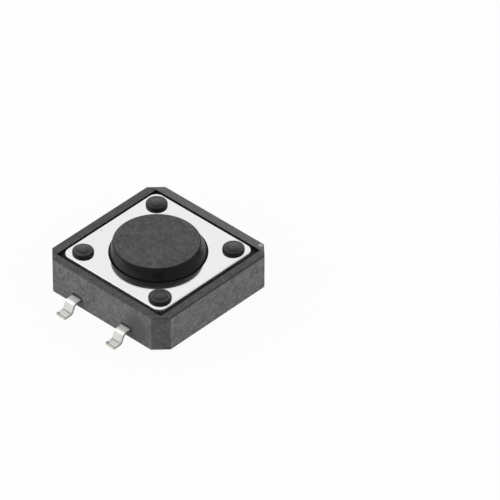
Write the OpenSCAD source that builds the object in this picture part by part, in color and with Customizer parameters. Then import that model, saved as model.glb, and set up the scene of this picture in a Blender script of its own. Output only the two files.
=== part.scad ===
// Square surface-mount push button switch with a round button.
// Seen from above the four leads come out along Y, two on each side.
// The feet of the leads stand on z = 0, and the button moves down along Z.

/* [Housing] */
// Width of the square housing across its flat sides
body_w = 12; // [11.6:0.1:14]
// Height of the housing from its underside to its rim
body_h = 2.94; // [2.6:0.02:3.4]
// Length cut off each side at the upright corners
corner_cut = 1; // [0.4:0.1:1.4]
// Width of the raised rim round the cover plate
rim_w = 0.72; // [0.5:0.02:0.9]
// Depth of the recess that the cover plate lies in
recess_d = 0.22; // [0.15:0.01:0.4]
// Thickness of the moulded floor under the dome
floor_t = 0.97; // [0.92:0.01:1.1]
// Gap between the underside of the housing and the board
standoff = 0.09; // [0.05:0.01:0.3]

/* [Cover plate] */
// Thickness of the cover plate
plate_t = 0.3; // [0.2:0.01:0.5]
// Gap between the cover plate and the rim
plate_gap = 0.25; // [0.1:0.01:0.35]
// Corner radius of the cover plate
plate_corner_r = 0.95; // [0.5:0.05:1.2]
// Radius that blanking leaves on the upper edge of the cover plate
plate_edge_r = 0.12; // [0.05:0.01:0.15]
// Width of the cover plate between its edge and the hole for the button
plate_land = 1.38; // [1.2:0.01:2]
// Gap between the button and the edge of the hole it comes through
plate_hole_gap = 0.15; // [0.1:0.01:0.25]

/* [Stakes] */
// Distance from the edges of the cover plate to the axis of a stake
stake_inset = 1.13; // [1:0.01:1.3]
// Diameter of a stake where it goes through the cover plate
stake_d = 1.2; // [0.9:0.05:1.4]
// Diameter of the head formed on a stake
stake_head_d = 1.64; // [1.5:0.02:1.8]
// Height of the head above the cover plate
stake_head_h = 0.27; // [0.15:0.01:0.4]
// Diameter of the button left in the middle of the head
stake_tip_d = 0.84; // [0.5:0.02:1]
// Height of the button left in the middle of the head
stake_tip_h = 0.18; // [0.05:0.01:0.2]
// Clearance round a stake in its hole
stake_gap = 0.03; // [0.02:0.01:0.1]

/* [Button] */
// Height of the top of the button above the rim
button_h = 1.03; // [0.7:0.01:3]
// How far the side of the button leans in from the cover plate to its top
button_taper = 0.23; // [0.05:0.01:0.6]
// Radius on the top edge of the button
button_edge_r = 0.14; // [0.05:0.01:0.3]
// Width of the flange that keeps the button under the cover plate
flange_w = 0.72; // [0.5:0.02:0.8]
// Thickness of the flange
flange_t = 0.45; // [0.3:0.05:0.5]
// Diameter of the stem that presses the dome
stem_d = 2.2; // [1.6:0.1:3]
// Wall between the hollow under the button and its outside
button_wall = 0.7; // [0.5:0.05:0.9]
// Thickness of the button above the hollow
button_top_t = 0.95; // [0.7:0.05:1.2]
// How far the button moves down
travel = 0.3; // [0.2:0.01:0.35]

/* [Dome] */
// Width of the ledge in the well that stops the button, outside the dome
stop_ledge = 0.75; // [0.4:0.05:1]
// Thickness of the snap dome
dome_t = 0.08; // [0.05:0.01:0.12]
// Width of the flat rim of the snap dome
dome_rim_w = 0.2; // [0.1:0.02:0.3]

/* [Leads] */
// Distance between the two leads on one side
lead_pitch = 5; // [4.6:0.1:5.4]
// Width of a lead
lead_w = 0.9; // [0.7:0.05:1.2]
// Thickness of the lead metal
lead_t = 0.22; // [0.15:0.01:0.3]
// How far the tip of a lead stands out from the housing
lead_reach = 1.76; // [1.5:0.02:2.2]
// Length of the flat foot of a lead
foot_len = 0.6; // [0.3:0.01:0.7]
// Height of the upper face of a lead above the underside of the housing
lead_h = 0.85; // [0.7:0.01:0.9]
// Slope of the leg between the two bends
leg_angle = 65; // [55:1:80]
// Outside radius of the upper bend
knee_r = 0.4; // [0.32:0.01:0.45]
// Inside radius of the lower bend
ankle_r = 0.12; // [0.05:0.01:0.2]
// Gap beside a lead in its pocket in the housing
pocket_side_gap = 0.1; // [0.05:0.01:0.2]
// Gap above a lead in its pocket
pocket_top_gap = 0.17; // [0.05:0.01:0.25]
// Gap below a lead in its pocket
pocket_low_gap = 0.25; // [0.05:0.01:0.3]
// How far the pocket round a lead goes into the housing
pocket_depth = 0.5; // [0.3:0.05:0.8]
// Diameter of the holes left under the strips by the pins that held them in the mould
pin_hole_d = 0.8; // [0.5:0.05:1]
// Distance of these holes from the middle of a strip
pin_hole_y = 3.6; // [3:0.1:4.4]

/* [Contacts] */
// Width of a contact strip inside the housing
strip_w = 1.3; // [1:0.05:1.6]
// Diameter of the contact under the middle of the dome
centre_pad_d = 1.5; // [1.2:0.1:2]
// Height of the middle contact above the floor
centre_pad_h = 0.11; // [0.08:0.01:0.15]
// Diameter of the contacts and seats under the rim of the dome
rim_pad_d = 0.8; // [0.5:0.05:1]
// Angle of these contacts and seats from the X axis
rim_pad_angle = 43; // [35:1:50]
// Height of the rim contacts above the floor
rim_pad_h = 0.05; // [0.03:0.01:0.1]

/* [Clearances] */
// Height left above the flange when the button is up
flange_gap = 0.03; // [0.02:0.01:0.06]
// Height left under the flange when the button is down
stop_gap = 0.06; // [0.04:0.01:0.1]
// Clearance round the flange in its well
well_gap = 0.1; // [0.06:0.01:0.15]
// Clearance round the dome in its well
dome_gap = 0.1; // [0.05:0.01:0.15]
// Gap between the stem and the dome when the button is up
stem_gap = 0.02; // [0.01:0.005:0.04]

/* [Hidden] */

$fn = 96;
cut = 0.05;
arc_steps = 8;

body_half = body_w / 2;
recess_half = body_half - rim_w;
plate_half = recess_half - plate_gap;
stake_at = plate_half - stake_inset;

under_z = standoff;
rim_z = under_z + body_h;
seat_z = rim_z - recess_d;
plate_top_z = seat_z + plate_t;
floor_z = under_z + floor_t;
strip_top_z = under_z + lead_h;
strip_low_z = strip_top_z - lead_t;

dome_low_z = floor_z + rim_pad_h;
centre_pad_z = floor_z + centre_pad_h;
dome_rise = centre_pad_z + travel - dome_low_z;
dome_top_z = dome_low_z + dome_rise + dome_t;

button_top_z = rim_z + button_h;
plate_hole_r = plate_half - plate_land;
button_base_r = plate_hole_r - plate_hole_gap;
button_top_r = button_base_r - button_taper;
flange_r = button_base_r + flange_w;
flange_top_z = seat_z - flange_gap;
flange_low_z = flange_top_z - flange_t;
flange_well_r = flange_r + well_gap;
dome_well_r = flange_well_r - stop_ledge;
dome_r = dome_well_r - dome_gap;
dome_cap_r = dome_r - dome_rim_w;
stop_z = flange_low_z - travel - stop_gap;
stem_low_z = dome_top_z + stem_gap;
hollow_z = button_top_z - button_top_t;

pocket_w = lead_w + 2 * pocket_side_gap;
pocket_h = lead_t + pocket_top_gap + pocket_low_gap;
pocket_low_z = strip_low_z - pocket_low_gap;
pocket_back = body_half - pocket_depth;
strip_x = lead_pitch / 2;
rim_pad_x = (dome_r - dome_rim_w / 2) * cos(rim_pad_angle);
rim_pad_y = (dome_r - dome_rim_w / 2) * sin(rim_pad_angle);

// Points of an arc, from one angle to another
function arc(cx, cz, r, from, to) =
    [for (i = [0 : arc_steps])
        let (a = from + (to - from) * i / arc_steps)
        [cx + r * cos(a), cz + r * sin(a)]];

// Square with cut corners
module cut_square(half, c) {
    polygon([
        [half - c, -half], [half, c - half], [half, half - c], [half - c, half],
        [c - half, half], [-half, half - c], [-half, c - half], [c - half, -half]
    ]);
}

// Square with round corners
module round_square(half, r) {
    union() {
        square([2 * half, 2 * (half - r)], center = true);
        square([2 * (half - r), 2 * half], center = true);
        for (sx = [-1, 1], sy = [-1, 1])
            translate([sx * (half - r), sy * (half - r)]) circle(r);
    }
}

// Section of what a round edge takes off a plate, with the edge at the origin
module edge_round_section(r) {
    difference() {
        translate([-r, -r]) square(r + cut);
        translate([-r, -r]) circle(r);
    }
}

// What round upper edges take off the outline of a square with round corners
module edge_round(half, corner_r, edge_r) {
    for (turn = [0 : 90 : 270])
        rotate([0, 0, turn]) {
            translate([half, half - corner_r, 0])
                rotate([90, 0, 0]) linear_extrude(2 * (half - corner_r)) edge_round_section(edge_r);
            translate([half - corner_r, half - corner_r, 0])
                rotate_extrude(angle = 90) translate([corner_r, 0]) edge_round_section(edge_r);
        }
}

// Places its children on the four stake axes
module at_stakes() {
    for (sx = [-1, 1], sy = [-1, 1])
        translate([sx * stake_at, sy * stake_at, 0]) children();
}

// One stake with its shank, formed head and rounded tip
module stake() {
    head_r = stake_head_d / 2;
    tip_r = stake_tip_d / 2;
    shank_r = stake_d / 2;
    head_z = plate_top_z + stake_head_h;
    edge_r = stake_head_h / 3;
    rotate_extrude()
        polygon(concat(
            [[0, seat_z - cut], [shank_r, seat_z - cut], [shank_r, plate_top_z], [head_r, plate_top_z]],
            arc(head_r - edge_r, head_z - edge_r, edge_r, 0, 90),
            arc(tip_r - stake_tip_h, head_z, stake_tip_h, 0, 90),
            [[0, head_z + stake_tip_h]]
        ));
}

// Side view of a lead as [distance out from the housing, height], upper face or lower face
function lead_line(off) =
    let (
        foot_at = lead_reach - foot_len,
        knee_cz = strip_top_z - knee_r,
        ankle_cz = lead_t + ankle_r,
        leg_top = knee_cz + knee_r * cos(leg_angle),
        leg_low = ankle_cz - ankle_r * cos(leg_angle),
        knee_at = foot_at - (ankle_r + knee_r) * sin(leg_angle) - (leg_top - leg_low) / tan(leg_angle)
    )
    concat(
        arc(knee_at, knee_cz, knee_r - off, 90, 90 - leg_angle),
        arc(foot_at, ankle_cz, ankle_r + off, 270 - leg_angle, 270)
    );

// One gull-wing lead on the +Y side, from the back of its pocket to its tip
module lead() {
    upper = lead_line(0);
    lower = lead_line(lead_t);
    line = concat(
        [[-pocket_depth, strip_top_z]], upper, [[lead_reach, lead_t], [lead_reach, 0]],
        [for (i = [len(lower) - 1 : -1 : 0]) lower[i]], [[-pocket_depth, strip_low_z]]
    );
    translate([-lead_w / 2, body_half, 0])
        rotate([90, 0, 90])
            linear_extrude(lead_w) polygon(line);
}

// Flat part of a contact strip with a lead at each end
module strip() {
    translate([-strip_w / 2, -pocket_back + strip_w / 2, strip_low_z])
        cube([strip_w, 2 * pocket_back - strip_w, lead_t]);
    for (side = [0, 180])
        rotate([0, 0, side]) {
            lead();
            translate([-lead_w / 2, pocket_back - strip_w / 2, strip_low_z])
                cube([lead_w, strip_w / 2, lead_t]);
        }
}

// Round contact that stands up from a strip
module contact_pad(d, top_z) {
    translate([0, 0, strip_low_z]) cylinder(d = d, h = top_z - strip_low_z);
}

module centre_contact_strip() {
    color("silver")
        union() {
            translate([-strip_x, 0, 0]) strip();
            translate([-strip_x, -strip_w / 2, strip_low_z]) cube([strip_x, strip_w, lead_t]);
            contact_pad(centre_pad_d, centre_pad_z);
        }
}

module rim_contact_strip() {
    color("silver")
        union() {
            translate([strip_x, 0, 0]) strip();
            for (side = [-1, 1]) {
                translate([rim_pad_x, side * rim_pad_y, 0]) contact_pad(rim_pad_d, dome_low_z);
                translate([min(rim_pad_x, strip_x), side * rim_pad_y - rim_pad_d / 2, strip_low_z])
                    cube([abs(strip_x - rim_pad_x), rim_pad_d, lead_t]);
            }
        }
}

module housing() {
    color("dimgray")
        difference() {
            union() {
                difference() {
                    translate([0, 0, under_z]) linear_extrude(body_h) cut_square(body_half, corner_cut);
                    translate([-recess_half, -recess_half, seat_z])
                        cube([2 * recess_half, 2 * recess_half, recess_d + cut]);
                    translate([0, 0, stop_z]) cylinder(r = flange_well_r, h = seat_z + cut - stop_z);
                    translate([0, 0, floor_z]) cylinder(r = dome_well_r, h = stop_z + cut - floor_z);
                }
                at_stakes() stake();
                for (side = [-1, 1])
                    translate([-rim_pad_x, side * rim_pad_y, floor_z - cut])
                        cylinder(d = rim_pad_d, h = rim_pad_h + cut);
            }
            for (sx = [-1, 1], side = [0, 180])
                translate([sx * strip_x, 0, 0]) rotate([0, 0, side])
                    translate([-pocket_w / 2, pocket_back, pocket_low_z])
                        cube([pocket_w, pocket_depth + cut, pocket_h]);
            for (sx = [-1, 1], sy = [-1, 1])
                translate([sx * strip_x, sy * pin_hole_y, under_z - cut])
                    cylinder(d = pin_hole_d, h = strip_low_z + cut - under_z);
            centre_contact_strip();
            rim_contact_strip();
        }
}

module cover_plate() {
    color("gainsboro")
        translate([0, 0, seat_z])
            difference() {
                linear_extrude(plate_t) round_square(plate_half, plate_corner_r);
                translate([0, 0, plate_t]) edge_round(plate_half, plate_corner_r, plate_edge_r);
                translate([0, 0, -cut]) cylinder(r = plate_hole_r, h = plate_t + 2 * cut);
                at_stakes()
                    translate([0, 0, -cut]) cylinder(r = stake_d / 2 + stake_gap, h = plate_t + 2 * cut);
            }
}

module plunger() {
    inner_r = button_base_r - button_wall;
    stem_r = stem_d / 2;
    color("dimgray")
        rotate_extrude()
            polygon(concat(
                [[0, stem_low_z], [stem_r, stem_low_z], [stem_r, hollow_z], [inner_r, hollow_z]],
                [[inner_r, flange_low_z], [flange_r, flange_low_z], [flange_r, flange_top_z]],
                [[button_base_r, flange_top_z], [button_base_r, plate_top_z]],
                arc(button_top_r - button_edge_r, button_top_z - button_edge_r, button_edge_r, 0, 90),
                [[0, button_top_z]]
            ));
}

module contact_dome() {
    ball_r = (dome_cap_r * dome_cap_r + dome_rise * dome_rise) / (2 * dome_rise);
    ball_z = dome_low_z + dome_rise - ball_r;
    half_angle = asin(dome_cap_r / ball_r);
    color("silver")
        rotate_extrude()
            polygon(concat(
                [for (i = [0 : arc_steps]) let (a = half_angle * i / arc_steps)
                    [ball_r * sin(a), ball_z + ball_r * cos(a)]],
                [[dome_r, dome_low_z], [dome_r, dome_low_z + dome_t]],
                [for (i = [arc_steps : -1 : 0]) let (a = half_angle * i / arc_steps)
                    [ball_r * sin(a), ball_z + ball_r * cos(a) + dome_t]]
            ));
}

housing();
cover_plate();
plunger();
contact_dome();
centre_contact_strip();
rim_contact_strip();
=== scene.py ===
"""Square surface-mount push button switch with a round button: looks, light and camera.

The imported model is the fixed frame. Every shown piece is rebuilt finer in millimetres,
in the place its solid has, and then brought to metres.
"""
import math

import bmesh
import bpy
from mathutils import Matrix, Vector


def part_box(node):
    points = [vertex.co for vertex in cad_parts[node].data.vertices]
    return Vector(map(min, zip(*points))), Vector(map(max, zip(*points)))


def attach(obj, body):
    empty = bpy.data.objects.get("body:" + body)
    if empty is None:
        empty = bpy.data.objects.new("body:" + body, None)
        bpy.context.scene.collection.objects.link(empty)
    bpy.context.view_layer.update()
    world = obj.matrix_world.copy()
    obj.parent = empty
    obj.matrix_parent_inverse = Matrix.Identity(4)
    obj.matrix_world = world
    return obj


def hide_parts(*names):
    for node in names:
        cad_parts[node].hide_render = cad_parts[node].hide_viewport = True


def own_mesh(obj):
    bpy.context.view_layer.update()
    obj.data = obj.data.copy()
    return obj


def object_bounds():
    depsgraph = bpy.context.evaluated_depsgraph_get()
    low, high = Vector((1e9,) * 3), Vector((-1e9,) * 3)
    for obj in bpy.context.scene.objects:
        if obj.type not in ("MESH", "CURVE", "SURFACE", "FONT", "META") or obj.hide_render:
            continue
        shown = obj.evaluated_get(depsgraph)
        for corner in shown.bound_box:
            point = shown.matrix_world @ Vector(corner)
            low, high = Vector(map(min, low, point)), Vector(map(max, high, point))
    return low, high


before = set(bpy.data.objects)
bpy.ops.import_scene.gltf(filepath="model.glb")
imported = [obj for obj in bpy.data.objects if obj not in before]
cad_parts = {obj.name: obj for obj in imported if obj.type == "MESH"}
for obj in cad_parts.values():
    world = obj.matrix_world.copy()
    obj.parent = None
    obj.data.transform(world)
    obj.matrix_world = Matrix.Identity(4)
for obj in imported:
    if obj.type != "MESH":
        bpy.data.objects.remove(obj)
cad_low, cad_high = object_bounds()

MM = 0.001
QUARTER = math.pi / 2


def box_mm(node):
    """Lowest and highest corner of a solid, in millimetres."""
    low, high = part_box(node)
    return low / MM, high / MM


# Heights and widths that the solids give
housing_low, housing_high = box_mm("housing")
plate_low, plate_high = box_mm("cover_plate")
plunger_low, plunger_high = box_mm("plunger")
dome_low, dome_high = box_mm("contact_dome")

body_half = housing_high.x
under_z = housing_low.z
plate_half = plate_high.x
seat_z = plate_low.z
plate_top_z = plate_high.z
flange_r = plunger_high.x
stem_low_z = plunger_low.z
button_top_z = plunger_high.z
dome_r = dome_high.x
dome_low_z = dome_low.z
dome_top_z = dome_high.z

# Sizes of the housing. All sizes here are in millimetres.
RECESS_DEPTH = 0.22
RIM_WIDTH = 0.72
CORNER_CUT = 1.0
MOULD_RADIUS = 0.05
rim_z = seat_z + RECESS_DEPTH
recess_half = body_half - RIM_WIDTH

# Sizes of the cover plate
PLATE_CORNER_R = 0.7
PLATE_EDGE_R = 0.1
PLATE_LAND = 1.38
PLATE_OFF_MIDDLE = -0.03
HOLE_EDGE_R = 0.03
HOLE_LIP = 0.01
DISH_DEPTH = 0.042
DISH_WIDTH = 1.15
plate_hole_r = plate_half - PLATE_LAND

# Sizes of the stakes. Each stake goes by the signs of its X and Y.
STAKE_INSET = 1.13
STAKE_D = 1.2
STAKE_HOLE_D = 1.26
STAKE_ROOT = 0.3
STAKE_HEADS = {(1, -1): 1.73, (-1, -1): 1.62, (1, 1): 1.66, (-1, 1): 1.64}
STAKE_HEAD_H = 0.27
STAKE_FOOT_R = 0.03
STAKE_EDGE_R = 0.15
STAKE_TIP_D = 1.24
STAKE_TIP_OFF = {(1, -1): 0.06, (-1, -1): -0.03, (1, 1): 0.1, (-1, 1): 0.1}
STAKE_TIP_LEAN = 0.14
STAKE_TIP_H = 0.18
stake_at = plate_half - STAKE_INSET

# Sizes of the button
FLANGE_W = 0.72
FLANGE_T = 0.45
FLANGE_GAP = 0.03
FLANGE_CUT = 0.04
BUTTON_FOOT_GAP = 0.08
BUTTON_TAPER = 0.285
BUTTON_TOP_OFF = 0.12
BUTTON_EDGE_R = 0.14
BUTTON_WALL = 0.7
BUTTON_TOP_T = 0.95
STEM_D = 2.2
STEM_EDGE_R = 0.1
TRAVEL = 0.3
STOP_GAP = 0.06
button_base_r = flange_r - FLANGE_W
button_foot_r = plate_hole_r - BUTTON_FOOT_GAP
button_top_r = button_foot_r - BUTTON_TAPER
flange_top_z = seat_z - FLANGE_GAP
flange_low_z = flange_top_z - FLANGE_T

# Sizes of the well in the housing, the dome and the leads
WELL_GAP = 0.1
FLOOR_T = 0.97
DOME_T = 0.08
DOME_RIM_W = 0.2
LEAD_PITCH = 5.0
LEAD_W = 0.9
LEAD_T = 0.22
LEAD_H = 0.85
LEAD_EDGE_R = 0.03
FOOT_LEN = 0.6
POCKET_SIDE_GAP = 0.03
POCKET_TOP_GAP = 0.13
POCKET_LOW_GAP = 0.1
POCKET_DEPTH = 0.5
PIN_HOLE_D = 0.8
PIN_HOLE_Y = 3.6
floor_z = under_z + FLOOR_T
strip_top_z = under_z + LEAD_H
strip_low_z = strip_top_z - LEAD_T
lead_tip = cad_high.y / MM
foot_start = lead_tip - FOOT_LEN
stop_z = flange_low_z - TRAVEL - STOP_GAP

# How shapes are cut and rounded. Angles are in degrees.
TOOL_OVER = 0.2
EASE_STEPS = 3
EASE_ANGLE = 40
DIAGONAL = math.sqrt(0.5)

# Marks and painted light and shade: their places and radii, and how far they take the colour to
# their own
NEAR_BLACK = (0.006, 0.006, 0.006)
RIM_NICK = (4.93, 5.72, rim_z)
RIM_NICK_R = 0.22
PALE_RIM_FADE = 0.1
PALE_RIM_SHARE = 0.38
# Painted shade: a soft dark spot on the -Y wall towards its +X end, where less light falls
WALL_SHADE_SPOT = (3.65, -6.0, 1.4)
WALL_SHADE_SPOT_R = 1.55
WALL_SHADE_SPOT_SHARE = 0.85
# Painted shade lines along two top edges of the housing
EDGE_SHADE_R = 0.11
RIGHT_SHADE_SHARE = 0.8
FRONT_SHADE_SHARE = 0.45
PLATE_DOT = (-4.72, -1.11, plate_top_z)
PLATE_DOT_R = 0.11
PLATE_DOT_SHARE = 0.6
# Painted light and shade on the leads: knee highlight, lit foot, crease shade, tip shadow line and
# shade at the pocket
KNEE_HEIGHT = 0.87
KNEE_HIGHLIGHT_SHARE = 0.9
FOOT_LIGHT_SHARE = 0.85
CREASE_SHADE_SHARE = 0.8
TIP_DAB_SHARE = 0.95
TIP_SHADOW_LINE_SHARE = 0.8
POCKET_SHADE_SHARE = 0.92
GRAIN_SHARE = 0.65
WEAR_SHARE = 0.8

# Light. The sky is at its overhead level from SKY_OVERHEAD_FROM upwards.
FLOOR_GLOW = 0.94
SKY_HORIZON = 1.85
SKY_OVERHEAD = 0.49
SKY_OVERHEAD_FROM = 0.75
LAMP_AIM_Z = 2
LEFT_LAMP = {"azimuth": -38, "elevation": 20, "distance": 120, "size": 130,
             "radiance": 1.15, "mirrored": True}
RIGHT_LAMP = {"azimuth": 116, "elevation": 18, "distance": 120, "size": 120,
              "radiance": 0.64, "mirrored": False}

# Camera
CAMERA_AZIMUTH = 43.01
CAMERA_ELEVATION = 38.41
CAMERA_ROLL = -0.16
CAMERA_DISTANCE = 482.7
CAMERA_RIGHT = 6.723
CAMERA_UP = 2.457
CAMERA_LENS = 472.03


def arc(cx, cz, r, start, end, steps):
    """Points of an arc from one angle to another, in degrees."""
    angles = [math.radians(start + (end - start) * i / steps) for i in range(steps + 1)]
    return [(cx + r * math.cos(a), cz + r * math.sin(a)) for a in angles]


def cut_square(half, cut):
    """Outline of a square with cut corners."""
    inner = half - cut
    return [
        (inner, -half), (half, -inner), (half, inner), (inner, half),
        (-inner, half), (-half, inner), (-half, -inner), (-inner, -half),
    ]


def round_square(half, r, corner_steps, side_steps):
    """Outline of a square with round corners, with even points along its sides."""
    c = half - r
    points = []
    for turn in range(4):
        angle = math.radians(90 * turn)
        right, up = math.cos(angle), math.sin(angle)
        side = [(half, c * (2 * i / side_steps - 1)) for i in range(side_steps)]
        corner = arc(c, c, r, 0, 90, corner_steps)[:-1]
        points += [(x * right - y * up, x * up + y * right) for x, y in side + corner]
    return points


def object_of(bm, name):
    """An object, still in millimetres, that holds the mesh of bm."""
    mesh = bpy.data.meshes.new(name)
    bm.to_mesh(mesh)
    bm.free()
    obj = bpy.data.objects.new(name, mesh)
    bpy.context.scene.collection.objects.link(obj)
    return obj


def prism(name, outline, low, high):
    """Upright block with the given outline."""
    bm = bmesh.new()
    base = bm.faces.new([bm.verts.new((x, y, low)) for x, y in outline])
    top = bmesh.ops.extrude_face_region(bm, geom=[base])["geom"]
    lifted = [g for g in top if isinstance(g, bmesh.types.BMVert)]
    bmesh.ops.translate(bm, verts=lifted, vec=(0, 0, high - low))
    bmesh.ops.recalc_face_normals(bm, faces=bm.faces)
    return object_of(bm, name)


def block(name, low, high):
    """Plain block between two corners."""
    outline = [(low[0], low[1]), (high[0], low[1]), (high[0], high[1]), (low[0], high[1])]
    return prism(name, outline, low[2], high[2])


def lathe(name, profile, segments, x=0.0, y=0.0):
    """Solid turned about an upright axis. The profile starts and ends on the axis."""
    bm = bmesh.new()
    ends = [bm.verts.new((x, y, profile[0][1])), bm.verts.new((x, y, profile[-1][1]))]
    rings = []
    for r, z in profile[1:-1]:
        ring = []
        for i in range(segments):
            a = 2 * math.pi * i / segments
            ring.append(bm.verts.new((x + r * math.cos(a), y + r * math.sin(a), z)))
        rings.append(ring)
    for i in range(segments):
        j = (i + 1) % segments
        bm.faces.new((ends[0], rings[0][i], rings[0][j]))
        bm.faces.new((ends[1], rings[-1][j], rings[-1][i]))
        for inner, outer in zip(rings, rings[1:]):
            bm.faces.new((inner[i], outer[i], outer[j], inner[j]))
    bmesh.ops.recalc_face_normals(bm, faces=bm.faces)
    return object_of(bm, name)


def disc(name, r, low, high, segments, x=0.0, y=0.0):
    """Plain round block."""
    return lathe(name, [(0, low), (r, low), (r, high), (0, high)], segments, x, y)


def settle(obj):
    """Turns the modifiers of an object into its mesh."""
    shape = obj.evaluated_get(bpy.context.evaluated_depsgraph_get())
    mesh = bpy.data.meshes.new_from_object(shape)
    obj.modifiers.clear()
    obj.data = mesh


def combine(obj, tools, operation):
    """Cuts the tools out of obj, or joins them to it, and removes them."""
    for tool in tools:
        modifier = obj.modifiers.new("combine", "BOOLEAN")
        modifier.operation = operation
        modifier.solver = "EXACT"
        modifier.object = tool
    bpy.context.view_layer.update()
    settle(obj)
    for tool in tools:
        bpy.data.objects.remove(tool)


def ease_edges(obj, width):
    """Rounds every edge that is sharper than EASE_ANGLE."""
    modifier = obj.modifiers.new("ease", "BEVEL")
    modifier.width = width
    modifier.segments = EASE_STEPS
    modifier.limit_method = "ANGLE"
    modifier.angle_limit = math.radians(EASE_ANGLE)
    modifier.miter_outer = "MITER_ARC"
    settle(obj)


def finish_piece(obj, body, replaces, materials, smooth_below=35):
    """Brings a piece to metres, gives it its materials and ties it to its body."""
    mesh = obj.data
    mesh.transform(Matrix.Scale(MM, 4))
    mesh.shade_smooth()
    mesh.set_sharp_from_angle(angle=math.radians(smooth_below))
    kinds = [face.material_index for face in mesh.polygons]
    mesh.materials.clear()
    for material in materials:
        mesh.materials.append(material)
    for face, kind in zip(mesh.polygons, kinds):
        face.material_index = kind
    weighted = obj.modifiers.new("even_normals", "WEIGHTED_NORMAL")
    weighted.keep_sharp = True
    weighted.weight = 80
    settle(obj)
    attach(obj, body)
    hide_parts(replaces)
    return obj


# Shader groups

def new_group(name, inputs, outputs):
    """Empty node group. Each socket is (name, type) or (name, type, default)."""
    group = bpy.data.node_groups.new(name, "ShaderNodeTree")
    for direction, sockets in (("INPUT", inputs), ("OUTPUT", outputs)):
        for entry in sockets:
            socket = group.interface.new_socket(
                name=entry[0], in_out=direction, socket_type="NodeSocket" + entry[1]
            )
            if len(entry) > 2:
                socket.default_value = entry[2]
    return group, group.nodes.new("NodeGroupInput"), group.nodes.new("NodeGroupOutput")


def add(tree, kind, **settings):
    """New node. Settings are attributes, or inputs where they start with in_."""
    node = tree.nodes.new(kind)
    for key, value in settings.items():
        if key.startswith("in_"):
            node.inputs[key[3:].replace("_", " ")].default_value = value
        else:
            setattr(node, key, value)
    return node


def math_node(tree, operation, a, b=None):
    """Math node with values or sockets as its inputs. Returns its output."""
    node = add(tree, "ShaderNodeMath", operation=operation)
    for i, value in enumerate((a, b)):
        if value is None:
            continue
        if isinstance(value, (int, float)):
            node.inputs[i].default_value = value
        else:
            tree.links.new(value, node.inputs[i])
    return node.outputs[0]


def ramp(tree, value, low, high, to_low=0.0, to_high=1.0):
    """Straight ramp of a value between two limits, held at its ends."""
    node = add(tree, "ShaderNodeMapRange", clamp=True)
    for i, v in enumerate((low, high, to_low, to_high)):
        node.inputs[i + 1].default_value = v
    tree.links.new(value, node.inputs[0])
    return node.outputs[0]


def mix_colour(tree, share, a, b):
    """Mix of two colours by a share. Colours are sockets or three numbers."""
    node = add(tree, "ShaderNodeMix", data_type="RGBA")
    for i, value in ((0, share), (6, a), (7, b)):
        if isinstance(value, tuple):
            node.inputs[i].default_value = (*value, 1)
        elif isinstance(value, (int, float)):
            node.inputs[i].default_value = value
        else:
            tree.links.new(value, node.inputs[i])
    return node.outputs[2]


def tint(tree, colour, mask, share, to):
    """Takes a colour a share of the way to another where the mask is 1."""
    return mix_colour(tree, math_node(tree, "MULTIPLY", mask, share), colour, to)


def split(tree, vector):
    """X, Y and Z of a vector."""
    parts = add(tree, "ShaderNodeSeparateXYZ")
    tree.links.new(vector, parts.inputs[0])
    return parts.outputs


def noise(group, start, scale, detail, roughness):
    """Noise over a group's place. Its scale is an input of the group, in cells a millimetre."""
    node = add(group, "ShaderNodeTexNoise", in_Detail=detail, in_Roughness=roughness)
    group.links.new(start.outputs["Place"], node.inputs["Vector"])
    group.links.new(start.outputs[scale], node.inputs["Scale"])
    return node.outputs["Fac"]


def band(tree, value, centre, half):
    """Mask that is 1 round a value and falls to 0 at half a width from it."""
    off = math_node(tree, "ABSOLUTE", math_node(tree, "SUBTRACT", value, centre))
    return ramp(tree, off, half, half * 0.3)


def spot(tree, place, centre, radius):
    """Mask that is 1 at a point in millimetres and falls to 0 at a radius from it."""
    off = add(tree, "ShaderNodeVectorMath", operation="DISTANCE")
    tree.links.new(place, off.inputs[0])
    off.inputs[1].default_value = centre
    return ramp(tree, off.outputs["Value"], radius, radius * 0.5)


def edge_shade_mark(tree, place, towards, reach):
    """Painted shade: 1 on a top edge of the housing, fading to 0 away from it.

    The edge lies across the given direction, at that reach from the middle.
    """
    across = add(tree, "ShaderNodeVectorMath", operation="DOT_PRODUCT")
    tree.links.new(place, across.inputs[0])
    across.inputs[1].default_value = towards
    point = add(tree, "ShaderNodeCombineXYZ")
    tree.links.new(across.outputs["Value"], point.inputs["X"])
    tree.links.new(split(tree, place)["Z"], point.inputs["Z"])
    return spot(tree, point.outputs[0], (reach, 0, rim_z), EDGE_SHADE_R)


def edge_shade_lines(tree, place):
    """Painted shade lines along the right edge of the rim and over the front corner cut."""
    cut_reach = (2 * body_half - CORNER_CUT) * DIAGONAL
    right = edge_shade_mark(tree, place, (1, 0, 0), body_half)
    front = edge_shade_mark(tree, place, (DIAGONAL, -DIAGONAL, 0), cut_reach)
    return math_node(tree, "MAXIMUM", math_node(tree, "MULTIPLY", right, RIGHT_SHADE_SHARE),
                     math_node(tree, "MULTIPLY", front, FRONT_SHADE_SHARE))


def make_place_group():
    """Place on the part in millimetres."""
    group, start, end = new_group(
        "place_mm", [("Stretch", "Vector", (1, 1, 1))], [("Place", "Vector")]
    )
    coords = add(group, "ShaderNodeTexCoord")
    scaled = add(group, "ShaderNodeVectorMath", operation="SCALE", in_Scale=1 / MM)
    group.links.new(coords.outputs["Object"], scaled.inputs[0])
    stretched = add(group, "ShaderNodeVectorMath", operation="MULTIPLY")
    group.links.new(scaled.outputs[0], stretched.inputs[0])
    group.links.new(start.outputs["Stretch"], stretched.inputs[1])
    group.links.new(stretched.outputs[0], end.inputs["Place"])
    return group


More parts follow.
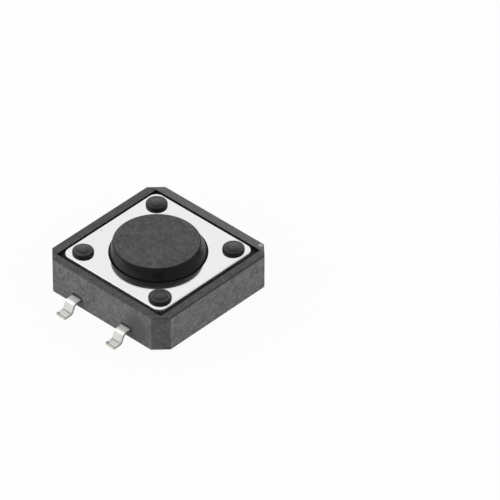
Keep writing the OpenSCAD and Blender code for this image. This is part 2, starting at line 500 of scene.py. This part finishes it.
def make_grain_group():
    """Grain of a spark-eroded mould: fine pits, cloudy mottle and sparse pale specks."""
    group, start, end = new_group(
        "mould_grain",
        [("Place", "Vector"), ("Grain Scale", "Float", 9.0), ("Mottle Scale", "Float", 1.6),
         ("Speck Scale", "Float", 2.2), ("Speck Size", "Float", 0.07)],
        [("Grain", "Float"), ("Mottle", "Float"), ("Specks", "Float"), ("Height", "Float")],
    )
    fine = noise(group, start, "Grain Scale", 3.0, 0.62)
    cloudy = noise(group, start, "Mottle Scale", 2.0, 0.5)
    cells = add(group, "ShaderNodeTexVoronoi", feature="F1")
    group.links.new(start.outputs["Place"], cells.inputs["Vector"])
    group.links.new(start.outputs["Speck Scale"], cells.inputs["Scale"])
    near = math_node(group, "LESS_THAN", cells.outputs["Distance"], start.outputs["Speck Size"])
    chosen = add(group, "ShaderNodeSeparateColor")
    group.links.new(cells.outputs["Color"], chosen.inputs[0])
    rare = math_node(group, "GREATER_THAN", chosen.outputs[0], 0.55)
    specks = math_node(group, "MULTIPLY", near, rare)
    grain = ramp(group, fine, 0.36, 0.64)
    group.links.new(grain, end.inputs["Grain"])
    group.links.new(ramp(group, cloudy, 0.3, 0.7), end.inputs["Mottle"])
    group.links.new(specks, end.inputs["Specks"])
    raised = math_node(group, "MULTIPLY", specks, 0.6)
    group.links.new(math_node(group, "ADD", grain, raised), end.inputs["Height"])
    return group


def make_wear_group():
    """Mask of worn edges, broken up by noise."""
    group, start, end = new_group(
        "edge_wear", [("Place", "Vector"), ("Break Scale", "Float", 5.0)], [("Wear", "Float")]
    )
    rounded = add(group, "ShaderNodeBevel", samples=4, in_Radius=0.05 * MM)
    flat = add(group, "ShaderNodeNewGeometry")
    facing = add(group, "ShaderNodeVectorMath", operation="DOT_PRODUCT")
    group.links.new(rounded.outputs[0], facing.inputs[0])
    group.links.new(flat.outputs["Normal"], facing.inputs[1])
    edge = ramp(group, facing.outputs["Value"], 0.985, 0.93)
    torn = ramp(group, noise(group, start, "Break Scale", 3.0, 0.6), 0.4, 0.62)
    group.links.new(math_node(group, "MULTIPLY", edge, torn), end.inputs["Wear"])
    return group


def make_rolling_group():
    """Rolling lines of drawn strip, along Y where Stretch squeezes Y, and soft clouds."""
    group, start, end = new_group(
        "rolling_lines",
        [("Place", "Vector"), ("Line Scale", "Float", 20.0), ("Cloud Scale", "Float", 1.2)],
        [("Lines", "Float"), ("Clouds", "Float")],
    )
    lines = noise(group, start, "Line Scale", 4.0, 0.7)
    clouds = noise(group, start, "Cloud Scale", 3.0, 0.55)
    group.links.new(ramp(group, lines, 0.25, 0.75), end.inputs["Lines"])
    group.links.new(ramp(group, clouds, 0.3, 0.7), end.inputs["Clouds"])
    return group


PLACE = make_place_group()
GRAIN = make_grain_group()
WEAR = make_wear_group()
ROLLING = make_rolling_group()


# Materials

def place_group(tree, group, **inputs):
    """Puts a shader group into a material, with its own values."""
    node = tree.nodes.new("ShaderNodeGroup")
    node.node_tree = group
    for key, value in inputs.items():
        socket = node.inputs[key.replace("_", " ")]
        if isinstance(value, bpy.types.NodeSocket):
            tree.links.new(value, socket)
        else:
            socket.default_value = value
    return node


def new_material(name):
    """Material with a plain Principled shader. Returns the material, its tree and the shader."""
    material = bpy.data.materials.new(name)
    material.use_nodes = True
    tree = material.node_tree
    return material, tree, tree.nodes["Principled BSDF"]


def dress(tree, shader, colour, rough_by, rough, height, strength, depth):
    """Ties a colour, a roughness between two limits and a bump to a shader.

    The bump's depth is a real one, in millimetres.
    """
    tree.links.new(colour, shader.inputs["Base Color"])
    tree.links.new(ramp(tree, rough_by, 0, 1, *rough), shader.inputs["Roughness"])
    node = add(tree, "ShaderNodeBump", in_Strength=strength, in_Distance=depth * MM)
    tree.links.new(height, node.inputs["Height"])
    tree.links.new(node.outputs[0], shader.inputs["Normal"])


def moulded_plastic(name, dark, light, rough, depth, worn, specks, grain_scale=5.0, gloss=0.3,
                    nick=None, shade_spot=None, pale_rim=False, edge_shaded=False, shaded_slopes=False):
    """Black moulded plastic between two greys, with its grain, specks and paler edges.

    Its marks and its painted shade, where it has them: a pale nick and a soft dark spot of painted
    shade, each at its place, a paler rim at the back, dark lines of painted shade along two top
    edges, and slopes darker than level faces, also painted shade.
    """
    material, tree, shader = new_material(name)
    shader.inputs["Specular IOR Level"].default_value = gloss
    place = place_group(tree, PLACE).outputs["Place"]
    grain = place_group(tree, GRAIN, Place=place, Grain_Scale=grain_scale)
    wear = place_group(tree, WEAR, Place=place)
    share = math_node(tree, "ADD", math_node(tree, "MULTIPLY", grain.outputs["Grain"], GRAIN_SHARE),
                      math_node(tree, "MULTIPLY", grain.outputs["Mottle"], 1 - GRAIN_SHARE))
    colour = mix_colour(tree, share, dark, light)
    colour = tint(tree, colour, grain.outputs["Specks"], specks, (0.16, 0.16, 0.165))
    colour = tint(tree, colour, wear.outputs["Wear"], WEAR_SHARE, worn)
    if pale_rim:
        at_back = ramp(tree, split(tree, place)["Y"],
                       recess_half - PALE_RIM_FADE, recess_half + PALE_RIM_FADE)
        colour = tint(tree, colour, at_back, PALE_RIM_SHARE, (0.20, 0.20, 0.20))
    if nick:
        colour = mix_colour(tree, spot(tree, place, nick, RIM_NICK_R), colour, (0.42, 0.42, 0.42))
    # Painted shade: a soft dark spot on the wall
    if shade_spot:
        colour = tint(tree, colour, spot(tree, place, shade_spot, WALL_SHADE_SPOT_R), WALL_SHADE_SPOT_SHARE, dark)
    # Painted shade: dark lines along two top edges
    if edge_shaded:
        colour = mix_colour(tree, edge_shade_lines(tree, place), colour, NEAR_BLACK)
    # Painted shade: faces that lean away from level turn darker, as on the stake tips
    if shaded_slopes:
        normal = add(tree, "ShaderNodeTexCoord").outputs["Normal"]
        level = ramp(tree, split(tree, normal)["Z"], 0.81, 0.985)
        colour = mix_colour(tree, level, NEAR_BLACK, colour)
    dress(tree, shader, colour, grain.outputs["Grain"], rough, grain.outputs["Height"], 0.6, depth)
    return material


def plate_steel():
    """Bright mirror-flat rolled steel with faint lines, soft clouds and one dark dot."""
    material, tree, shader = new_material("bright_rolled_steel")
    shader.inputs["Metallic"].default_value = 1.0
    place = place_group(tree, PLACE, Stretch=(1.0, 0.06, 1.0)).outputs["Place"]
    even = place_group(tree, PLACE).outputs["Place"]
    lines = place_group(tree, ROLLING, Place=place, Line_Scale=14.0).outputs["Lines"]
    clouds = place_group(tree, ROLLING, Place=even, Cloud_Scale=0.8).outputs["Clouds"]
    colour = mix_colour(tree, lines, (0.80, 0.81, 0.80), (0.86, 0.865, 0.86))
    colour = tint(tree, colour, clouds, 0.35, (0.87, 0.875, 0.87))
    dot = spot(tree, even, PLATE_DOT, PLATE_DOT_R)
    colour = tint(tree, colour, dot, PLATE_DOT_SHARE, (0.35, 0.35, 0.34))
    dress(tree, shader, colour, lines, (0.08, 0.13), lines, 0.1, 0.001)
    return material


def tin():
    """Silvery tin plate over the lead strips.

    It has painted light on its top face and its foot, and a painted highlight at the knee. It is
    creased at the ankle, with painted shade in the crease, and sheared at the tip, with a dark dab
    and a painted shadow line there. Painted shade darkens it where it comes out of its pocket.
    """
    material, tree, shader = new_material("matt_tin_plate")
    shader.inputs["Metallic"].default_value = 0.4
    place = place_group(tree, PLACE, Stretch=(1.0, 0.12, 1.0)).outputs["Place"]
    even = place_group(tree, PLACE).outputs["Place"]
    lines = place_group(tree, ROLLING, Place=place, Line_Scale=10.0).outputs["Lines"]
    clouds = place_group(tree, ROLLING, Place=even, Cloud_Scale=3.0).outputs["Clouds"]
    colour = mix_colour(tree, lines, (0.46, 0.46, 0.445), (0.58, 0.58, 0.56))
    colour = tint(tree, colour, clouds, 0.4, (0.52, 0.52, 0.48))
    x, y, z = split(tree, even)
    reach = math_node(tree, "ABSOLUTE", y)
    outside = ramp(tree, reach, body_half, body_half + 0.1)
    # Painted light: the top face outside the housing is lighter
    lit_top_face = ramp(tree, z, strip_top_z - 0.03, strip_top_z - 0.005)
    lit_top_face = math_node(tree, "MULTIPLY", lit_top_face, outside)
    colour = mix_colour(tree, lit_top_face, colour, (0.84, 0.84, 0.83))
    # Painted light: the foot is lighter
    lit_foot = ramp(tree, reach, foot_start - 0.05, foot_start + 0.02)
    colour = tint(tree, colour, lit_foot, FOOT_LIGHT_SHARE, (0.90, 0.90, 0.88))
    # Painted highlight: a pale band across the knee
    knee = math_node(tree, "MULTIPLY", band(tree, z, KNEE_HEIGHT, 0.1), outside)
    colour = tint(tree, colour, knee, KNEE_HIGHLIGHT_SHARE, (0.93, 0.93, 0.90))
    # Painted shade in the crease at the ankle
    crease = band(tree, reach, foot_start - 0.05, 0.07)
    colour = tint(tree, colour, crease, CREASE_SHADE_SHARE, (0.26, 0.26, 0.25))
    # A dark dab at the -X corner of each tip
    lead_x = math_node(tree, "MULTIPLY", math_node(tree, "SIGN", x), LEAD_PITCH / 2)
    at_corner = ramp(tree, math_node(tree, "SUBTRACT", x, lead_x), -0.05, -0.3)
    at_tip = ramp(tree, reach, lead_tip - 0.28, lead_tip - 0.14)
    dab = math_node(tree, "MULTIPLY", at_tip, at_corner)
    # Painted shadow: a dark line along the top edge of the tip, under its burr
    line = ramp(tree, reach, lead_tip - 0.12, lead_tip - 0.05)
    tip_dab_and_shadow = math_node(tree, "MAXIMUM", math_node(tree, "MULTIPLY", dab, TIP_DAB_SHARE),
                         math_node(tree, "MULTIPLY", line, TIP_SHADOW_LINE_SHARE))
    colour = mix_colour(tree, tip_dab_and_shadow, colour, (0.18, 0.18, 0.17))
    # Painted shade where the strip goes into its pocket, reaching a little out past the wall
    pocket_shade = ramp(tree, reach, body_half + 0.16, body_half + 0.02)
    colour = tint(tree, colour, pocket_shade, POCKET_SHADE_SHARE, (0.12, 0.12, 0.12))
    dress(tree, shader, colour, clouds, (0.38, 0.52), lines, 0.3, 0.006)
    return material


def sheared_metal(name, dark, light):
    """Cut faces, where the base metal shows, with the upright lines of the shearing."""
    material, tree, shader = new_material(name)
    shader.inputs["Metallic"].default_value = 1.0
    place = place_group(tree, PLACE, Stretch=(1.0, 1.0, 0.2)).outputs["Place"]
    rolling = place_group(tree, ROLLING, Place=place, Line_Scale=16.0)
    lines = rolling.outputs["Lines"]
    colour = mix_colour(tree, lines, dark, light)
    dress(tree, shader, colour, rolling.outputs["Clouds"], (0.35, 0.5), lines, 0.4, 0.008)
    return material


def dome_steel():
    """Polished spring steel of the snap dome."""
    material, tree, shader = new_material("spring_steel")
    shader.inputs["Metallic"].default_value = 1.0
    place = place_group(tree, PLACE, Stretch=(1.0, 0.1, 1.0)).outputs["Place"]
    lines = place_group(tree, ROLLING, Place=place, Line_Scale=12.0).outputs["Lines"]
    colour = mix_colour(tree, lines, (0.62, 0.60, 0.56), (0.74, 0.72, 0.68))
    dress(tree, shader, colour, lines, (0.15, 0.3), lines, 0.2, 0.002)
    return material


HOUSING_PLASTIC = moulded_plastic(
    "textured_housing_plastic", dark=(0.0275, 0.0275, 0.0265), light=(0.102, 0.1015, 0.0995),
    rough=(0.5, 0.68), depth=0.02, worn=(0.09, 0.09, 0.088), specks=0.5, grain_scale=4.0,
    nick=RIM_NICK, pale_rim=True, edge_shaded=True)
STAKE_PLASTIC = moulded_plastic(
    "formed_stake_plastic", dark=(0.036, 0.036, 0.035), light=(0.082, 0.082, 0.077),
    rough=(0.3, 0.42), depth=0.008, worn=(0.07, 0.07, 0.07), specks=0.2, gloss=0.2,
    shaded_slopes=True)
# Painted light: the walls get a lighter copy of the housing plastic, standing in for the light that
# falls on them from the sides.
LIT_WALL_PLASTIC = moulded_plastic(
    "painted_light_wall_plastic", dark=(0.059, 0.059, 0.062), light=(0.153, 0.153, 0.160),
    rough=(0.55, 0.72), depth=0.02, worn=(0.15, 0.15, 0.15), specks=0.4, grain_scale=3.2,
    shade_spot=WALL_SHADE_SPOT, edge_shaded=True)
# Painted shade: a near-black copy of the plastic for the recess, the wells and the sides of the
# stakes, where light hardly reaches
RECESS_SHADE_PLASTIC = moulded_plastic(
    "painted_shade_recess_plastic", dark=(0.003, 0.003, 0.003), light=(0.007, 0.007, 0.007),
    rough=(0.3, 0.4), depth=0.004, worn=(0.02, 0.02, 0.02), specks=0.1, gloss=0.1)
CHAMFER_PLASTIC = moulded_plastic(
    "textured_corner_plastic", dark=(0.028, 0.028, 0.0295), light=(0.092, 0.092, 0.097),
    rough=(0.5, 0.68), depth=0.02, worn=(0.09, 0.09, 0.092), specks=0.5, edge_shaded=True)
BUTTON_PLASTIC = moulded_plastic(
    "textured_button_plastic", dark=(0.024, 0.024, 0.025), light=(0.098, 0.099, 0.101),
    rough=(0.5, 0.68), depth=0.02, worn=(0.06, 0.06, 0.06), specks=0.9, grain_scale=4.0)
BUTTON_SIDE_PLASTIC = moulded_plastic(
    "smooth_button_side_plastic", dark=(0.003, 0.003, 0.003), light=(0.006, 0.006, 0.006),
    rough=(0.3, 0.4), depth=0.004, worn=(0.02, 0.02, 0.02), specks=0.1, gloss=0.13)
PLATE_STEEL = plate_steel()
# Partly the real cut edge, partly painted shade: the darker steel dims the reflection on the rolled
# upper edge
EDGE_STEEL_AND_SHADE = sheared_metal("blanked_plate_edge_and_shade", (0.62, 0.625, 0.62), (0.72, 0.725, 0.72))
TIN = tin()
SHEARED = sheared_metal("sheared_lead_end", (0.50, 0.49, 0.42), (0.72, 0.71, 0.61))
CUT_SIDE = sheared_metal("sheared_lead_side", (0.20, 0.20, 0.19), (0.36, 0.36, 0.34))
DOME_STEEL = dome_steel()

# The housing's materials, and the place of each in the list
HOUSING_MATERIALS = [
    HOUSING_PLASTIC, STAKE_PLASTIC, LIT_WALL_PLASTIC, RECESS_SHADE_PLASTIC, CHAMFER_PLASTIC
]
ON_TOP, ON_STAKE, ON_WALL, IN_RECESS, ON_CHAMFER = range(5)


# Pieces

def stake_profile(head_d):
    """Half section of a stake: shank, formed head and the low round tip on it."""
    head_z = plate_top_z + STAKE_HEAD_H
    root_z = seat_z - STAKE_ROOT
    foot_r = head_d / 2 - STAKE_FOOT_R
    tip_r = STAKE_TIP_D / 2
    tip = [
        (tip_r * (1 - i / 14), head_z + STAKE_TIP_H * math.sin(QUARTER * i / 14))
        for i in range(14)
    ]
    return (
        [(0, root_z), (STAKE_D / 2, root_z), (STAKE_D / 2, plate_top_z), (foot_r, plate_top_z)]
        + arc(foot_r, plate_top_z + STAKE_FOOT_R, STAKE_FOOT_R, -45, 0, 2)
        + arc(head_d / 2 - STAKE_EDGE_R, head_z - STAKE_EDGE_R, STAKE_EDGE_R, 0, 80, 8)
        + [(tip_r + 0.04, head_z)] + tip + [(0, head_z + STAKE_TIP_H)]
    )


def make_stake(sx, sy):
    """One stake. Its tip is off its middle and leans, along the diagonal to the front corner."""
    obj = lathe("stake", stake_profile(STAKE_HEADS[sx, sy]), 96, sx * stake_at, sy * stake_at)
    head_z = plate_top_z + STAKE_HEAD_H
    for vertex in obj.data.vertices:
        height = (vertex.co.z - head_z) / STAKE_TIP_H
        if height > 0.01:
            move = (STAKE_TIP_OFF[sx, sy] + STAKE_TIP_LEAN * height) * DIAGONAL
            vertex.co.x += move
            vertex.co.y -= move
    return obj


def housing_kind(centre, normal):
    """Which of the housing's materials a face has."""
    from_stake = min(
        math.hypot(centre.x - sx * stake_at, centre.y - sy * stake_at) for sx, sy in STAKE_HEADS
    )
    if from_stake < max(STAKE_HEADS.values()) / 2 + 0.01 and centre.z > seat_z + 0.001:
        # Painted shade: the stake sides, the recess and the wells get the near-black recess plastic
        return IN_RECESS if normal.z < 0.45 else ON_STAKE
    across = max(abs(centre.x), abs(centre.y))
    if stop_z - 0.01 < centre.z < rim_z - 0.06 and across < recess_half + 0.01:
        return IN_RECESS
    # Walls take the lighter wall plastic, which is painted light.
    if max(abs(normal.x), abs(normal.y)) > 0.9 and across > body_half - 0.01:
        return ON_WALL
    at_cut = abs(centre.x) + abs(centre.y) > 2 * body_half - CORNER_CUT - 0.05
    return ON_CHAMFER if at_cut and min(abs(normal.x), abs(normal.y)) > 0.6 else ON_TOP


def make_housing():
    """Moulded housing with its recess, well, lead pockets and holes, and the four stakes."""
    obj = prism("moulded_housing", cut_square(body_half, CORNER_CUT), under_z, rim_z)
    tools_top = rim_z + TOOL_OVER
    tools = [
        block("recess", (-recess_half, -recess_half, seat_z),
              (recess_half, recess_half, tools_top)),
        disc("flange_well", flange_r + WELL_GAP, stop_z, tools_top, 96),
        disc("dome_well", dome_r + WELL_GAP, floor_z, tools_top, 96),
    ]
    pocket_half = LEAD_W / 2 + POCKET_SIDE_GAP
    pocket_low, pocket_top = strip_low_z - POCKET_LOW_GAP, strip_top_z + POCKET_TOP_GAP
    for sx in (-1, 1):
        x = sx * LEAD_PITCH / 2
        for sy in (-1, 1):
            y_in, y_out = sy * (body_half - POCKET_DEPTH), sy * (body_half + TOOL_OVER)
            tools.append(block("lead_pocket", (x - pocket_half, min(y_in, y_out), pocket_low),
                               (x + pocket_half, max(y_in, y_out), pocket_top)))
            tools.append(disc("pin_hole", PIN_HOLE_D / 2, under_z - TOOL_OVER, strip_low_z + 0.05,
                              48, x, sy * PIN_HOLE_Y))
    combine(obj, tools, "DIFFERENCE")
    ease_edges(obj, MOULD_RADIUS)
    combine(obj, [make_stake(sx, sy) for sx, sy in STAKE_HEADS], "UNION")
    for face in obj.data.polygons:
        face.material_index = housing_kind(face.center, face.normal)
    return finish_piece(obj, "base", "housing", HOUSING_MATERIALS)


def plate_ring(inset, z):
    """Ring of points that follows the outer edge of the plate, some way in from it."""
    outline = round_square(plate_half - inset, PLATE_CORNER_R - inset, 14, 30)
    return [(x + PLATE_OFF_MIDDLE, y, z) for x, y in outline]


def hole_ring(r, z):
    """Ring of points round the hole, one for each point of the outer edge."""
    angles = [math.atan2(y, x) for x, y, _ in plate_ring(0, z)]
    return [(r * math.cos(a), r * math.sin(a), z) for a in angles]


def make_cover_plate():
    """Blanked steel plate: a rounded upper edge, a face that dips to the button, and five holes."""
    dish = []
    for i in range(13):
        share = i / 12
        dip = DISH_DEPTH * (1 - share) ** 2
        dish.append(hole_ring(plate_hole_r + HOLE_EDGE_R + DISH_WIDTH * share, plate_top_z - dip))
    hole_top_z = plate_top_z - DISH_DEPTH - HOLE_LIP
    rounded = [
        plate_ring(PLATE_EDGE_R - PLATE_EDGE_R * math.sin(math.radians(a)),
                   plate_top_z - PLATE_EDGE_R + PLATE_EDGE_R * math.cos(math.radians(a)))
        for a in range(0, 91, 15)
    ]
    rings = [hole_ring(plate_hole_r, seat_z), hole_ring(plate_hole_r, hole_top_z - HOLE_EDGE_R)]
    rings += [hole_ring(plate_hole_r + HOLE_EDGE_R * 0.3, hole_top_z - HOLE_EDGE_R * 0.3)]
    rings += dish + rounded + [plate_ring(0, seat_z)]
    bm = bmesh.new()
    loops = [[bm.verts.new(point) for point in ring] for ring in rings]
    for inner, outer in zip(loops, loops[1:] + loops[:1]):
        for k in range(len(inner)):
            n = (k + 1) % len(inner)
            bm.faces.new((inner[k], outer[k], outer[n], inner[n]))
    bmesh.ops.recalc_face_normals(bm, faces=bm.faces)
    obj = object_of(bm, "steel_cover_plate")
    tools = [
        disc("stake_hole", STAKE_HOLE_D / 2, seat_z - TOOL_OVER, plate_top_z + TOOL_OVER, 64,
             sx * stake_at, sy * stake_at)
        for sx in (-1, 1) for sy in (-1, 1)
    ]
    combine(obj, tools, "DIFFERENCE")
    for face in obj.data.polygons:
        across = max(abs(face.center.x - PLATE_OFF_MIDDLE), abs(face.center.y))
        # The rolled upper edge and the cut side take the darker edge steel; on the rolled edge it
        # is painted shade
        on_edge = face.normal.z < 0.97 and across > plate_half - PLATE_CORNER_R
        face.material_index = 1 if on_edge else 0
    return finish_piece(obj, "base", "cover_plate",
                        [PLATE_STEEL, EDGE_STEEL_AND_SHADE], smooth_below=30)


def make_button():
    """Round button turned from its profile: stem, hollow, flange, leaning side and rounded edge.

    Its top sits a little off its foot, towards -X and -Y.
    """
    stem_r = STEM_D / 2
    inner_r = button_base_r - BUTTON_WALL
    hollow_z = button_top_z - BUTTON_TOP_T
    profile = (
        [(0, stem_low_z), (stem_r - STEM_EDGE_R, stem_low_z)]
        + arc(stem_r - STEM_EDGE_R, stem_low_z + STEM_EDGE_R, STEM_EDGE_R, -60, 0, 4)
        + [(stem_r, hollow_z), (inner_r, hollow_z), (inner_r, flange_low_z)]
        + [(flange_r - FLANGE_CUT, flange_low_z), (flange_r, flange_low_z + FLANGE_CUT)]
        + [(flange_r, flange_top_z - FLANGE_CUT), (flange_r - FLANGE_CUT, flange_top_z)]
        + [(button_foot_r, flange_top_z), (button_foot_r, plate_top_z)]
        + arc(button_top_r - BUTTON_EDGE_R, button_top_z - BUTTON_EDGE_R, BUTTON_EDGE_R, 8, 90, 10)
        + [(button_top_r - 0.6, button_top_z), (1.2, button_top_z), (0, button_top_z)]
    )
    obj = lathe("round_button", profile, 192)
    for vertex in obj.data.vertices:
        height = (vertex.co.z - plate_top_z) / (button_top_z - plate_top_z)
        if vertex.co.z > plate_top_z + 0.001:
            move = BUTTON_TOP_OFF * height * DIAGONAL
            vertex.co.x -= move
            vertex.co.y -= move
    for face in obj.data.polygons:
        face.material_index = 0 if face.normal.z > 0.9 else 1
    return finish_piece(obj, "button", "plunger",
                        [BUTTON_PLASTIC, BUTTON_SIDE_PLASTIC])


def make_strip(node, name):
    """Stamped contact strip with its two leads, its sharp edges slightly broken."""
    obj = bpy.data.objects.new(name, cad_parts[node].data.copy())
    bpy.context.scene.collection.objects.link(obj)
    bm = bmesh.new()
    bm.from_mesh(obj.data)
    bmesh.ops.scale(bm, vec=(1 / MM,) * 3, verts=bm.verts)
    bmesh.ops.remove_doubles(bm, verts=bm.verts, dist=1e-4)
    bmesh.ops.dissolve_limit(bm, angle_limit=math.radians(1), verts=bm.verts, edges=bm.edges)
    bm.to_mesh(obj.data)
    bm.free()
    ease_edges(obj, LEAD_EDGE_R)
    for face in obj.data.polygons:
        on_tip = abs(face.center.y) > lead_tip - 0.004
        on_side = abs(face.normal.x) > 0.9 and abs(face.center.y) > body_half - POCKET_DEPTH
        face.material_index = 1 if on_tip else 2 if on_side else 0
    return finish_piece(obj, "base", node,
                        [TIN, SHEARED, CUT_SIDE], smooth_below=40)


def make_dome():
    """Snap dome: a shallow ball section with a flat rim."""
    cap_r = dome_r - DOME_RIM_W
    rise = dome_top_z - DOME_T - dome_low_z
    ball_r = (cap_r ** 2 + rise ** 2) / (2 * rise)
    ball_z = dome_low_z + rise - ball_r
    half_angle = math.degrees(math.asin(cap_r / ball_r))
    under = arc(0, ball_z, ball_r, 90, 90 - half_angle, 12)
    over = [(r, z + DOME_T) for r, z in reversed(under)]
    profile = (
        [(0, dome_low_z + rise)] + under[1:] + [(dome_r, dome_low_z), (dome_r, dome_low_z + DOME_T)]
        + over[:-1] + [(0, dome_top_z)]
    )
    obj = lathe("snap_dome", profile, 128)
    finish_piece(obj, "base", "contact_dome", [DOME_STEEL])
    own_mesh(obj)
    return obj


make_housing()
make_cover_plate()
make_button()
make_strip("centre_contact_strip", "middle_contact_strip")
make_strip("rim_contact_strip", "outer_contact_strip")
make_dome()


# Floor and world

def light_path_white(tree):
    """Share that is 1 for what the camera sees, straight, mirrored or through glass."""
    path = add(tree, "ShaderNodeLightPath")
    seen = math_node(tree, "MAXIMUM", path.outputs["Is Camera Ray"], path.outputs["Is Glossy Ray"])
    return math_node(tree, "MAXIMUM", seen, path.outputs["Is Transmission Ray"])


def make_floor():
    """Wide pale floor that keeps a faint shadow. It can be looked through from below."""
    bm = bmesh.new()
    bmesh.ops.create_grid(bm, x_segments=1, y_segments=1, size=3.0 / MM)
    obj = object_of(bm, "pale_floor")
    obj.data.transform(Matrix.Scale(MM, 4))
    material, tree, shader = new_material("pale_floor_paper")
    shader.inputs["Base Color"].default_value = (0.8, 0.8, 0.8, 1)
    shader.inputs["Roughness"].default_value = 0.9
    shader.inputs["Specular IOR Level"].default_value = 0.0
    glow = add(tree, "ShaderNodeEmission", in_Strength=1.0)
    white = light_path_white(tree)
    shown = add(tree, "ShaderNodeMixShader")
    tree.links.new(math_node(tree, "MULTIPLY", white, FLOOR_GLOW), shown.inputs[0])
    tree.links.new(shader.outputs[0], shown.inputs[1])
    tree.links.new(glow.outputs[0], shown.inputs[2])
    below = add(tree, "ShaderNodeMixShader")
    side = add(tree, "ShaderNodeNewGeometry")
    clear = add(tree, "ShaderNodeBsdfTransparent")
    tree.links.new(side.outputs["Backfacing"], below.inputs[0])
    tree.links.new(shown.outputs[0], below.inputs[1])
    tree.links.new(clear.outputs[0], below.inputs[2])
    tree.links.new(below.outputs[0], tree.nodes["Material Output"].inputs["Surface"])
    obj.data.materials.append(material)
    return obj


def make_world(above, horizon):
    """White for what the camera sees. For light: one level overhead and one at the horizon."""
    world = bpy.data.worlds.new("studio")
    bpy.context.scene.world = world
    world.use_nodes = True
    tree = world.node_tree
    background = tree.nodes["Background"]
    background.inputs["Color"].default_value = (1, 1, 1, 1)
    upward = split(tree, add(tree, "ShaderNodeTexCoord").outputs["Generated"])["Z"]
    light = ramp(tree, upward, 0.0, SKY_OVERHEAD_FROM, horizon, above)
    white = light_path_white(tree)
    lit = math_node(tree, "MULTIPLY", light, math_node(tree, "SUBTRACT", 1.0, white))
    tree.links.new(math_node(tree, "ADD", lit, white), background.inputs["Strength"])


# Lamps and camera

def aim(obj, target):
    """Turns a lamp or camera so that it looks at a point."""
    obj.rotation_mode = "QUATERNION"
    obj.rotation_quaternion = (Vector(target) - obj.location).to_track_quat("-Z", "Y")


def direction(azimuth, elevation):
    """Direction from the object. Azimuth 0 is towards -Y, and 90 towards +X."""
    a, e = math.radians(azimuth), math.radians(elevation)
    return Vector((math.sin(a) * math.cos(e), -math.cos(a) * math.cos(e), math.sin(e)))


def make_lamp(name, azimuth, elevation, distance, size, radiance, mirrored):
    """Square soft lamp, mirrored in glossy faces or not. Distance and size are in millimetres."""
    data = bpy.data.lights.new(name, "AREA")
    data.shape = "SQUARE"
    data.size = size * MM
    data.energy = radiance * math.pi * (size * MM) ** 2
    obj = bpy.data.objects.new(name, data)
    bpy.context.scene.collection.objects.link(obj)
    obj.visible_glossy = mirrored
    aim_at = Vector((0, 0, LAMP_AIM_Z)) * MM
    obj.location = aim_at + direction(azimuth, elevation) * distance * MM
    aim(obj, aim_at)
    return obj


def make_camera():
    """Long-lens camera that looks down on the front corner, with the object left of the middle."""
    back = direction(CAMERA_AZIMUTH, CAMERA_ELEVATION)
    turn = math.radians(CAMERA_AZIMUTH)
    right = Vector((math.cos(turn), math.sin(turn), 0))
    up = back.cross(right)
    foot = Vector((0, 0, under_z)) + CAMERA_RIGHT * right + CAMERA_UP * up
    roll = math.radians(CAMERA_ROLL)
    rolled_right = right * math.cos(roll) - up * math.sin(roll)
    rolled_up = right * math.sin(roll) + up * math.cos(roll)
    data = bpy.data.cameras.new("camera")
    data.lens = CAMERA_LENS
    data.sensor_width = 36.0
    data.clip_start = 0.01
    data.clip_end = 20.0
    obj = bpy.data.objects.new("camera", data)
    bpy.context.scene.collection.objects.link(obj)
    axes = Matrix((rolled_right, rolled_up, back)).transposed().to_4x4()
    obj.matrix_world = Matrix.Translation((foot + back * CAMERA_DISTANCE) * MM) @ axes
    bpy.context.scene.camera = obj


make_floor()
make_world(SKY_OVERHEAD, SKY_HORIZON)
make_lamp("left_lamp", **LEFT_LAMP)
make_lamp("right_lamp", **RIGHT_LAMP)
make_camera()
bpy.context.scene.view_settings.view_transform = "Standard"
